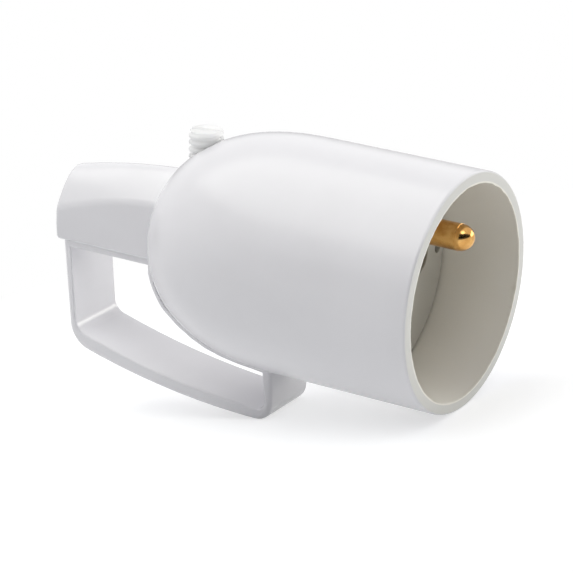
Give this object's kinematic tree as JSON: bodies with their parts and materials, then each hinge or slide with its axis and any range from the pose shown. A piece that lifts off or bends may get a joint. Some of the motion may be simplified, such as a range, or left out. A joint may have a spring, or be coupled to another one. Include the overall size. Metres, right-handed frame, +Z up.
{
  "type": "inline socket connector",
  "caption": "Rewireable inline socket for a round 16 A plug: shrouded mouth with an earth pin, domed body, cable neck with a nylon clamp screw, and a finger-loop handle.",
  "frame": {"origin": "on the surface that the connector rests on, below the middle of its bounding box", "axes": "+X towards the socket mouth along the longest extent, +Y across it, +Z up; the socket axis points 13.71 degrees below +X, which is how the connector lies on its rim and finger loop"},
  "size_m": [0.0876, 0.043, 0.0534],
  "materials": {
    "housing_plastic": "glossy white moulding",
    "carrier_plastic": "matt off-white moulding",
    "brass": "bright turned brass",
    "steel": "plated steel",
    "nylon": "milky nylon"
  },
  "bodies": {
    "connector": {"housing": "housing_plastic", "contact_carrier": "carrier_plastic", "terminal_plate": "carrier_plastic", "earth_pin": "brass", "earth_washer": "steel", "earth_nut": "steel", "contact_sleeve_left": "brass", "contact_clip_left": "steel", "terminal_left": "brass", "terminal_screw_left": "steel", "carrier_screw_left": "steel", "contact_sleeve_right": "brass", "contact_clip_right": "steel", "terminal_right": "brass", "terminal_screw_right": "steel", "carrier_screw_right": "steel"},
    "screw": {"clamp_screw": "nylon"}
  },
  "joints": [
    {"name": "clamp_travel", "type": "slide", "parent": "connector", "child": "screw", "axis": [-0.237, 0, -0.9715], "range_m": [-0.003, 0.005]}
  ]
}
